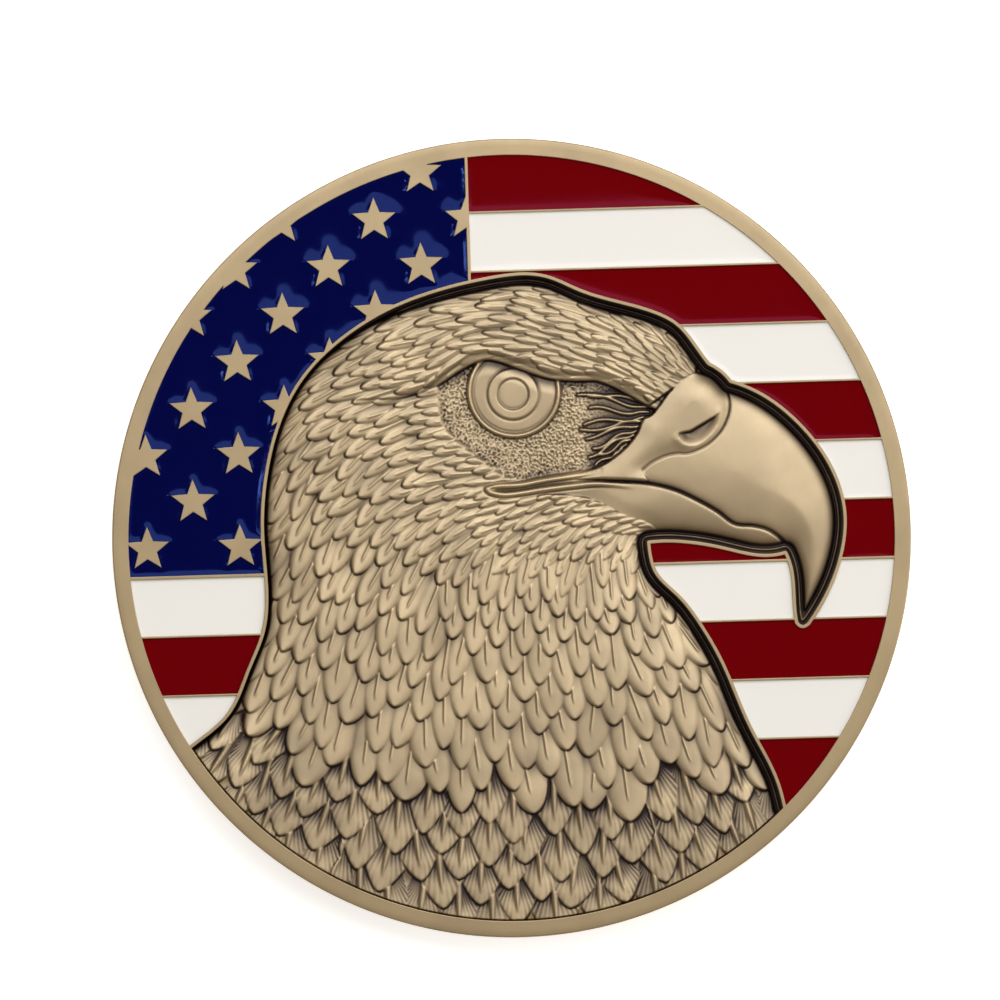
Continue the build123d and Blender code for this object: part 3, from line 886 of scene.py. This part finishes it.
HOLLOW = 0.12  # mm below its surroundings at which the patina is full
below_wide = np.clip((blur(height, 0.40) - height - 0.01) / HOLLOW, 0, 1)
below_edge = np.clip((highest_near(height, 0.11) - height - 0.05) / 0.09, 0, 1)
patina_and_shade = 0.54 * below_wide + 0.74 * below_edge + blur(ink * plumage, 0.02)
# painted shade: darker within 0.8 mm of the relief's edge where it drops into the groove, partly patina held
# at the relief's foot
patina_and_shade += 0.50 * ease(depth_in, 0.8, 0.0) ** 1.5
# the groove near black: patina in it and painted shade, lighter along its floor's ridge as a painted
# highlight and patina wiped off the ridge
patina_and_shade += ease(depth_in, 0.10, -0.02) * (0.92 - 0.70 * crease(to_fence - RIDGE_IN, 0.055))
# painted shade: darker along the left edge of the neck, on the side away from the light
patina_and_shade += 0.05 * ease(X, -6, -12) * ease(Y, -9, -4) * ease(depth_in, 1.6, 0.6)
bare = skin & (eye_r > EYE_OUT)
grains = stipple * ease(skin_share, 0.2, 0.8) * (1 - np.clip(bristle_zone, 0, 1))
patina_and_shade += bare * (0.50 * bristle_zone * (to_bristle > 0.09) + 0.10 - 0.09 * grains)
patina_and_shade -= 0.5 * bare * bristle_zone * (to_bristle < 0.07)
patina_and_shade += 0.07 * horn
patina_and_shade *= 1 - 0.75 * skin * crease(eye_r - (EYE_OUT + EYE_IN) / 2 - 0.03, 0.22)
patina_and_shade += (0.06 + 0.10 * (pupil_r > PUPIL_OUT)) * (eye_r < EYE_IN) * skin
clouds = blur(noise, 0.5)
# painted shade: darker towards the bottom; the plumage's darker tone and the clouds are the patina's own
patina_and_shade += 0.10 * plumage + 0.08 * ease(Y, -6, -18) + 0.05 * clouds / clouds.std() * plumage
# painted highlight: lighter along the ridge on the groove's floor, partly patina wiped off it
patina_and_shade *= 1 - 0.55 * crease(to_fence - RIDGE_IN, 0.05) * (depth_in < 0.1)
patina_and_shade *= 1 - 0.60 * lip_bed * (to_lips < 0.40)
patina_and_shade = blur(np.clip(patina_and_shade, 0, 1), 0.015)
print("patina covers", round(100 * float((patina_and_shade[in_bed] > 0.5).mean())), "percent of the relief")

# %% [markdown]
# ## The relief's skin
# Each part of the relief becomes a closed mesh: a top from the height field, a wall down from its
# outline, and one flat face below. A Grid with a Displace modifier would need an image to read the
# heights from, so the points are written straight in. The parts meet on shared grid lines, and their
# normals come from the whole field, so no seam shows.

# %% Mesh a part of the height field
STEP = 2  # grid cells to one mesh square
UNDER = 0.13  # mm that the relief runs on under the fence and the rim
RELIEF_FOOT = FOOT_Z + 0.02
coarse_x, coarse_y = xs[::STEP], ys[::STEP]
coarse_z, coarse_patina_and_shade = height[::STEP, ::STEP], patina_and_shade[::STEP, ::STEP]
slope_y, slope_x = np.gradient(blur(height, 0.03), CELL)
rim_way = RIM_IN_R - np.hypot(X, Y)
in_reach = (np.where(in_bed, to_fence, -to_fence) > -UNDER) & (rim_way > -UNDER)
in_reach &= in_bed | (to_fence < UNDER) | (np.abs(rim_way) < UNDER + 0.03)


def squares_of(mask):
    """Mesh squares whose four corners are all in the mask."""
    m = mask[::STEP, ::STEP]
    return m[:-1, :-1] & m[:-1, 1:] & m[1:, :-1] & m[1:, 1:]


def boundary_loops(edges):
    following = {}
    for a, b in edges.tolist():
        following.setdefault(a, []).append(b)
    loops = []
    while following:
        start = next(iter(following))
        loop, here = [], start
        while True:
            loop.append(here)
            ways = following[here]
            after = ways.pop()
            if not ways:
                del following[here]
            here = after
            if here == start:
                break
        loops.append(loop)
    return loops


def relief_piece(name, squares):
    """A closed mesh of some squares of the height field, carrying the patina with its painted shade, and the
    field's normals.
    """
    rows, cols = np.nonzero(squares)
    width = len(coarse_x)
    a = rows * width + cols
    quads = np.stack([a, a + 1, a + 1 + width, a + width], 1)
    used, quads = np.unique(quads, return_inverse=True)
    quads = quads.reshape(-1, 4)
    r, c = used // width, used % width
    top_co = np.column_stack([coarse_x[c], coarse_y[r], coarse_z[r, c]])
    sides = np.vstack([quads[:, [k, (k + 1) % 4]] for k in range(4)])
    key = sides[:, 0] * len(used) + sides[:, 1]
    lonely = sides[~np.isin(key, sides[:, 1] * len(used) + sides[:, 0])]
    rim_points, local = np.unique(lonely, return_inverse=True)
    local = local.reshape(-1, 2) + len(used)
    foot_co = top_co[rim_points].copy()
    foot_co[:, 2] = RELIEF_FOOT
    walls = np.column_stack([lonely[:, 1], lonely[:, 0], local[:, 0], local[:, 1]])
    floors = [np.array(loop)[::-1] for loop in boundary_loops(local)]
    co = np.vstack([top_co, foot_co]) * MM
    corners = np.concatenate([quads.ravel(), walls.ravel(), *floors])
    sizes = np.concatenate([np.full(len(quads) + len(walls), 4), [len(f) for f in floors]])
    mesh = bpy.data.meshes.new(name)
    mesh.vertices.add(len(co))
    mesh.vertices.foreach_set("co", co.ravel())
    mesh.loops.add(len(corners))
    mesh.loops.foreach_set("vertex_index", corners.astype(np.int32))
    mesh.polygons.add(len(sizes))
    mesh.polygons.foreach_set("loop_start", (np.cumsum(sizes) - sizes).astype(np.int32))
    mesh.update(calc_edges=True)
    mesh.shade_smooth()
    layer = mesh.attributes.new("patina_and_shade", "FLOAT", "POINT")
    dark = np.concatenate([coarse_patina_and_shade[r, c], np.ones(len(foot_co))])
    layer.data.foreach_set("value", dark.astype(np.float32))
    up = np.column_stack([-slope_x[::STEP, ::STEP][r, c], -slope_y[::STEP, ::STEP][r, c], np.ones(len(r))])
    up /= np.linalg.norm(up, axis=1, keepdims=True)
    down = np.tile([0.0, 0.0, -1.0], (len(foot_co), 1))
    mesh.normals_split_custom_set_from_vertices(np.vstack([up, down]).tolist())
    piece = bpy.data.objects.new(name, mesh)
    bpy.context.scene.collection.objects.link(piece)
    print(name, 2 * len(quads) + 2 * len(walls), "triangles and more below")
    return piece


# %% Beak, and the rest from crown to breast
all_squares = squares_of(in_reach)
square_y = coarse_y[:-1, None] + np.zeros(len(coarse_x) - 1)
square_x = coarse_x[None, :-1] + np.zeros((len(coarse_y) - 1, 1))
is_beak = (square_x > 9.6) & (square_y > -5.5) & (square_y < 10.3)
PARTS = ["crown", "face", "throat", "neck", "breast", "lower_breast"]
PART_EDGES = [30, 9.5, 2.0, -5.0, -11.5, -16.5, -30]  # mm, from the top down
relief_pieces = [relief_piece("beak_relief", all_squares & is_beak)]
for part, high, low in zip(PARTS, PART_EDGES[:-1], PART_EDGES[1:]):
    belt = (square_y >= low) & (square_y < high) & ~is_beak
    relief_pieces.append(relief_piece(part + "_relief", all_squares & belt))

# %% [markdown]
# ## Soft enamel
# Enamel is filled in wet with a syringe and cured, so it climbs the metal all round and sinks in the
# middle. Each pool's outline comes from its own CAD solid; its surface is the level there plus a
# height that falls off with distance to metal: a long shallow slope, and a short steep one where the
# enamel wets the metal.

# %% Enamel pools
ENAMEL_CLIMB = 0.17  # mm up the metal
ENAMEL_REACH = 1.5  # mm from the metal at which the surface is level again
SHALLOW = 0.65  # share of the climb in the long shallow slope
ENAMEL_WETS = 0.09  # mm, width of the steep part against the metal
ENAMEL_ROUND = 0.30  # mm, how far the wet surface rounds off the metal's corners
STRIPE_CLIMB = 0.4  # share of the climb in the red and white pools, which are filled flatter
ENAMEL_CELL = 0.06  # mm between the points of its height field
field_x = np.arange(-COIN_R, COIN_R + ENAMEL_CELL, ENAMEL_CELL)
metal = np.ones((len(field_x), len(field_x)), bool)
for loop in cell_loops:
    metal &= ~painted(loop, field_x, field_x)
for loop in star_loops:
    metal |= painted(loop, field_x, field_x)
metal_edges = [np.vstack([loop, loop[:1]]) for loop in [*cell_loops, *star_loops]]
to_metal = near(metal_edges, 0.5, field_x, field_x)
# the logarithm of a blurred mask is a distance to it with its corners rounded off
covered = np.clip(2 * blur(metal * 1.0, ENAMEL_ROUND, ENAMEL_CELL), 1e-9, 1)
soft_distance = ENAMEL_ROUND * np.sqrt(-2 * np.log(covered))
slope = np.clip(1 - soft_distance / ENAMEL_REACH, 0, 1) ** 2
climb = ENAMEL_CLIMB * (SHALLOW * slope + (1 - SHALLOW) * np.exp(-to_metal / ENAMEL_WETS))


def enamel_height(points):
    """The wet surface's height over the enamel's level, between the field's points."""
    at = (points + COIN_R) / ENAMEL_CELL
    i = np.clip(at.astype(int), 0, len(field_x) - 2)
    u, v = (at - i).T
    a, b = climb[i[:, 1], i[:, 0]], climb[i[:, 1], i[:, 0] + 1]
    c, d = climb[i[:, 1] + 1, i[:, 0]], climb[i[:, 1] + 1, i[:, 0] + 1]
    return (a * (1 - u) + b * u) * (1 - v) + (c * (1 - u) + d * u) * v


OVER_METAL = 0.03  # mm that a pool runs on under the metal's bevel
INNER_BELOW = 0.93  # share of the climb above which a point is too near the outline to add
POOL_SPACING = 0.13  # mm between the points of a pool's surface


def enamel_pool(name, spacing_mm, share):
    """A closed pool with a curved surface, a touch wider than its cell so that no gap shows."""
    loops = [moved_sideways(smoothed(loop), -OVER_METAL) for loop in level_loops(name, ENAMEL_LEVEL)]
    outer = np.vstack(loops)
    gx = np.arange(outer[:, 0].min(), outer[:, 0].max(), spacing_mm)
    gy = np.arange(outer[:, 1].min(), outer[:, 1].max(), spacing_mm * 0.866)
    px, py = np.meshgrid(gx, gy)
    px[::2] += spacing_mm / 2
    inner = np.column_stack([px.ravel(), py.ravel()])
    inner = inner[is_inside(inner, loops) & (enamel_height(inner) < ENAMEL_CLIMB * INNER_BELOW)]
    co, tri = filled(loops, inner)
    up = np.column_stack([co, ENAMEL_LEVEL - 0.01 + share * enamel_height(co)])
    down = np.column_stack([co, np.full(len(co), ENAMEL_FLOOR)])
    faces = tri.tolist() + (tri[:, ::-1] + len(co)).tolist() + wall(loops, len(co), 0)
    piece = make_piece(name + "_enamel", np.vstack([up, down]), faces)
    piece.data.set_sharp_from_angle(angle=math.radians(50))
    return piece


enamel_pieces = {}
for name in pool_names:
    enamel_pieces[name] = enamel_pool(name, POOL_SPACING, 1.0 if name.startswith("blue") else STRIPE_CLIMB)
print({name: len(piece.data.polygons) for name, piece in enamel_pieces.items()})

# %% [markdown]
# ## Finishes
# Four finishes: antique brass with its patina, and three colours of soft enamel. Colours are given as
# sRGB hex, the way a maker's chart has them, and turned to linear light in one place.

# %% Colour and node helpers
def linear(hex_colour, alpha=1.0):
    """An sRGB hex colour as linear light."""
    parts = [int(hex_colour[k : k + 2], 16) / 255 for k in (1, 3, 5)]
    return (*(p / 12.92 if p <= 0.04045 else ((p + 0.055) / 1.055) ** 2.4 for p in parts), alpha)


def new_material(name):
    """An empty node material with its output, and its node tree."""
    material = bpy.data.materials.new(name)
    material.use_nodes = True
    material.node_tree.nodes.clear()
    return material, material.node_tree


# %% [markdown]
# ### Antique brass
# Real thing: struck brass, plated, darkened with a patina and relieved with a soft wheel, then
# lacquered. To the eye it is a satin pale gold, browner and almost black in the hollows, with fine
# scratches from the wheel that only show as a soft spread of the highlight.

# %% Antique brass, struck and relieved
WHEEL_MARK = 0.12  # mm, width of the relieving wheel's finest scratches, drawn as coarse as shows
MARK_DEPTH = 0.004  # mm
CLOUD = 3.0  # mm, size of the cloudy changes in how far the patina is wiped


def antique_brass(name, light, dark, patina_and_shade_from, roughness=0.42, brushed=0.0):
    """Struck brass. The named attribute holds the patina and painted shade; None gives flat rubbed metal."""
    material, tree = new_material(name)
    place = node(tree, "ShaderNodeTexCoord").outputs["Object"]
    cloud = node(tree, "ShaderNodeTexNoise", {"Vector": place, "Scale": 1 / (CLOUD * MM), "Detail": 3.0})
    drawn_out = {"Vector": place, "Rotation": (0, 0, math.radians(20)), "Scale": (1, 0.06, 1)}
    lengthwise = node(tree, "ShaderNodeMapping", drawn_out).outputs[0]
    scratches = {"Vector": lengthwise, "Scale": 1 / (WHEEL_MARK * MM), "Detail": 2.0}
    marks = node(tree, "ShaderNodeTexNoise", scratches).outputs["Fac"]
    rubbed = node(tree, "ShaderNodeMapRange", {0: cloud.outputs["Fac"], 1: 0.3, 2: 0.7, 3: -0.06, 4: 0.10})
    amount = rubbed.outputs[0]
    if patina_and_shade_from:
        held = node(tree, "ShaderNodeAttribute", attribute_name=patina_and_shade_from)
        both = {0: held.outputs["Fac"], 1: amount}
        amount = node(tree, "ShaderNodeMath", both, operation="ADD", use_clamp=True).outputs[0]
    tone = node(tree, "ShaderNodeValToRGB", {"Fac": amount})
    middle = tuple((a * 0.52 + b * 0.48) for a, b in zip(linear(light), linear(dark)))
    stops = tone.color_ramp.elements
    stops[0].color, stops[1].color = linear(light), linear(dark)
    stops.new(0.45).color = middle
    finish = node(tree, "ShaderNodeMapRange", {0: amount, 1: 0.0, 2: 1.0, 3: roughness, 4: 0.62})
    rougher = {0: marks, 1: 0.10, 2: finish.outputs[0]}
    spread = node(tree, "ShaderNodeMath", rougher, operation="MULTIPLY_ADD")
    scored = {"Strength": 0.10 + brushed, "Distance": MARK_DEPTH * MM, "Height": marks}
    bump = node(tree, "ShaderNodeBump", scored)
    shader = node(tree, "ShaderNodeBsdfPrincipled", {"Base Color": tone.outputs["Color"], "Metallic": 1.0})
    shader.inputs["Coat Weight"].default_value = 0.5
    shader.inputs["Coat Roughness"].default_value = 0.35
    tree.links.new(spread.outputs[0], shader.inputs["Roughness"])
    tree.links.new(bump.outputs[0], shader.inputs["Normal"])
    node(tree, "ShaderNodeOutputMaterial", {"Surface": shader.outputs[0]})
    return material


BRASS_LIGHT, BRASS_DARK = "#bca785", "#2a1b1c"
relief_brass = antique_brass("antique_brass_relieved", BRASS_LIGHT, BRASS_DARK, "patina_and_shade")
rim_brass = antique_brass("antique_brass_rim", "#ae9976", "#4a3a2c", None, 0.42, 0.30)
print(relief_brass.name, "and", rim_brass.name)

# %% [markdown]
# ### Soft enamel
# Real thing: epoxy enamel, pigmented right through and cured glossy. The eye sees an even deep colour
# under a clear gloss, a slightly lighter edge where the wet enamel climbed, and rare specks of dust.
# Principled gives it with the pigment as base colour and the gloss as its own reflection. The edge is
# painted into the base colour where the surface climbs: partly thinner pigment, partly painted sheen.

# %% Soft enamel, cured glossy
def soft_enamel(name, colour, edge, gloss, tint):
    """Pigmented epoxy. The edge colour is painted where the pool climbs the metal: partly thinner pigment,
    and where it is lighter, a painted sheen of the light on its slope.
    """
    material, tree = new_material(name)
    place = node(tree, "ShaderNodeTexCoord").outputs["Object"]
    cloud = node(tree, "ShaderNodeTexNoise", {"Vector": place, "Scale": 1 / (2.2 * MM), "Detail": 2.0})
    height_of = node(tree, "ShaderNodeSeparateXYZ", {0: place})
    level = (ENAMEL_LEVEL + ENAMEL_CLIMB * 0.35) * MM
    top = (ENAMEL_LEVEL + ENAMEL_CLIMB) * MM
    climbed = node(tree, "ShaderNodeMapRange", {0: height_of.outputs["Z"], 1: level, 2: top, 3: 0.0, 4: 0.35})
    # painted sheen and thinner pigment: the edge colour mixes in as the surface climbs
    thin_and_sheen_inputs = {0: cloud.outputs["Fac"], 1: 0.10, 2: climbed.outputs[0]}
    thin_and_sheen = node(tree, "ShaderNodeMath", thin_and_sheen_inputs, operation="MULTIPLY_ADD")
    colours = {0: thin_and_sheen.outputs[0], 6: linear(colour), 7: linear(edge)}
    pigment = node(tree, "ShaderNodeMix", colours, data_type="RGBA")
    shader = node(tree, "ShaderNodeBsdfPrincipled", {"Base Color": pigment.outputs[2], "Roughness": 0.08})
    shader.inputs["Specular IOR Level"].default_value = gloss
    shader.inputs["Specular Tint"].default_value = tint
    node(tree, "ShaderNodeOutputMaterial", {"Surface": shader.outputs[0]})
    return material


# the second colour is each pool's edge where it climbs: thinner pigment, and in the navy a painted sheen
enamels = {
    "blue": soft_enamel("soft_enamel_navy", "#00003c", "#06104e", 0.36, (0.16, 0.28, 1.0, 1)),
    "red": soft_enamel("soft_enamel_deep_red", "#6b0002", "#5c0616", 0.20, (1.0, 0.20, 0.45, 1)),
    "white": soft_enamel("soft_enamel_ivory", "#f4f2ec", "#ece7dc", 0.4, (1, 1, 1, 1)),
}
print("enamels:", [enamel.name for enamel in enamels.values()])

# %% Stars in place, front and back
FRONT_STAR_H, REVERSE_STAR_H = 0.9, 0.6  # mm, deep enough to stand in the metal below
front_stock = star_stock("front_star_stock", FRONT_STAR_H)
reverse_stock = star_stock("reverse_star_stock", REVERSE_STAR_H)
points = bpy.data.meshes.new("star_places")
points.from_pydata([(x * MM, y * MM, COIN_T * MM) for x, y in centres], [], [])
values = {"Star": front_stock, "Scale": 1.0, "Material": rim_brass}
front_stars = run_tree("front_stars", points, stars_on_points(), values)
REVERSE_STARS = 13
REVERSE_STAR_R = 1.5
ring_r = (LINE_R + LINE_W + RIM_IN_R) / 2
values = {"Star": reverse_stock, "Count": REVERSE_STARS, "Radius": ring_r * MM}
values |= {"Scale": REVERSE_STAR_R / STAR_R, "Material": rim_brass}
empty = bpy.data.meshes.new("ring_start")
reverse_stars = run_tree("reverse_stars", empty, star_ring(), values)
for stock in (front_stock, reverse_stock):
    bpy.data.objects.remove(stock)
for stars in (front_stars, reverse_stars):
    print(stars.name, len(stars.data.polygons), "faces")

# %% [markdown]
# ## On to the frame
# Every piece rides on the coin's one body. The metal pieces stand for the struck body, and each pool
# of enamel for its own CAD pool.

# %% Materials and frame calls
metal_pieces = [raised_metal, blank, front_stars, reverse_stars, *relief_pieces]
for piece in metal_pieces:
    piece.data.materials.clear()
    piece.data.materials.append(relief_brass if piece in relief_pieces else rim_brass)
    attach(piece, "root")
    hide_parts("coin_body")
for name, piece in enamel_pieces.items():
    colour = name.split("_")[0]
    piece.data.materials.append(enamels[colour])
    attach(piece, "root")
    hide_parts(name)
print(len(metal_pieces), "metal pieces,", len(enamel_pieces), "enamel pools")

# %% [markdown]
# ## Table, light and camera
# A pale table, a large soft light high over the coin's top, a narrow one at the left for glints in the
# enamel, a wide one at the right to fill the shadows, and an even warm sky. The camera looks straight
# down from far off, so the coin shows almost no perspective.

# %% Table
TABLE_HALF = 300  # mm from the middle to the edge
corners = [(x * TABLE_HALF, y * TABLE_HALF, 0) for x, y in ((-1, -1), (1, -1), (1, 1), (-1, 1))]
table = make_piece("table", corners, [(0, 1, 2, 3)])
paper, tree = new_material("white_paper_table")
PAPER_GRAIN = 0.3  # mm
place = node(tree, "ShaderNodeTexCoord").outputs["Object"]
grain = node(tree, "ShaderNodeTexNoise", {"Vector": place, "Scale": 1 / (PAPER_GRAIN * MM)})
whites = {0: grain.outputs["Fac"], 6: linear("#fbfbfa"), 7: linear("#ffffff")}
tint = node(tree, "ShaderNodeMix", whites, data_type="RGBA")
shader = node(tree, "ShaderNodeBsdfPrincipled", {"Base Color": tint.outputs[2], "Roughness": 0.9})
shader.inputs["Emission Color"].default_value = (1, 1, 1, 1)
shader.inputs["Emission Strength"].default_value = 0.6
node(tree, "ShaderNodeOutputMaterial", {"Surface": shader.outputs[0]})
table.data.materials.append(paper)
table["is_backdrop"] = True
print("table", 2 * TABLE_HALF, "mm across")

# %% Lights
def softbox(name, place, aim, size, power, colour):
    """A rectangular light at a place in metres, facing a point, unseen by the camera."""
    lamp = bpy.data.lights.new(name, "AREA")
    lamp.shape, lamp.size, lamp.size_y = "RECTANGLE", *size
    lamp.energy, lamp.color = power, colour
    made = bpy.data.objects.new(name, lamp)
    made.location = place
    made.rotation_euler = (Vector(aim) - Vector(place)).to_track_quat("-Z", "Y").to_euler()
    made.visible_camera = False
    bpy.context.scene.collection.objects.link(made)


softbox("front_softbox", (0.04, 0.15, 0.28), (0, 0, 0), (0.36, 0.24), 0.82, (0.93, 0.96, 1.0))
softbox("left_strip", (-0.20, 0.03, 0.50), (0, 0, 0), (0.004, 0.10), 0.05, (1, 1, 1))
softbox("right_fill", (0.55, -0.05, 0.40), (0, 0, 0), (0.3, 0.5), 0.95, (1.0, 0.97, 0.93))
world = bpy.data.worlds.new("pale_room")
world.use_nodes = True
world.node_tree.nodes["Background"].inputs["Color"].default_value = (1.0, 0.90, 0.77, 1)
world.node_tree.nodes["Background"].inputs["Strength"].default_value = 0.33
bpy.context.scene.world = world
bpy.context.scene.view_settings.view_transform = "Standard"
print("lights:", [lamp.name for lamp in bpy.data.lights])

# %% Camera
VIEW_WIDTH = 0.06356  # metres across the picture
CAMERA_HEIGHT = 0.6
camera_data = bpy.data.cameras.new("camera")
camera_data.sensor_width = 36
camera_data.lens = 36 * CAMERA_HEIGHT / VIEW_WIDTH
camera = bpy.data.objects.new("camera", camera_data)
camera.location = (-0.00066, 0.00244, CAMERA_HEIGHT + COIN_T * MM)
camera.rotation_euler = (0, 0, math.radians(-1.66))
bpy.context.scene.collection.objects.link(camera)
bpy.context.scene.camera = camera
print("camera lens", round(camera_data.lens), "mm,", CAMERA_HEIGHT, "m above the coin")

# %% Sizes and finish
low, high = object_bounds()
print("visual box", [round(v / MM, 2) for v in (*low, *high)])
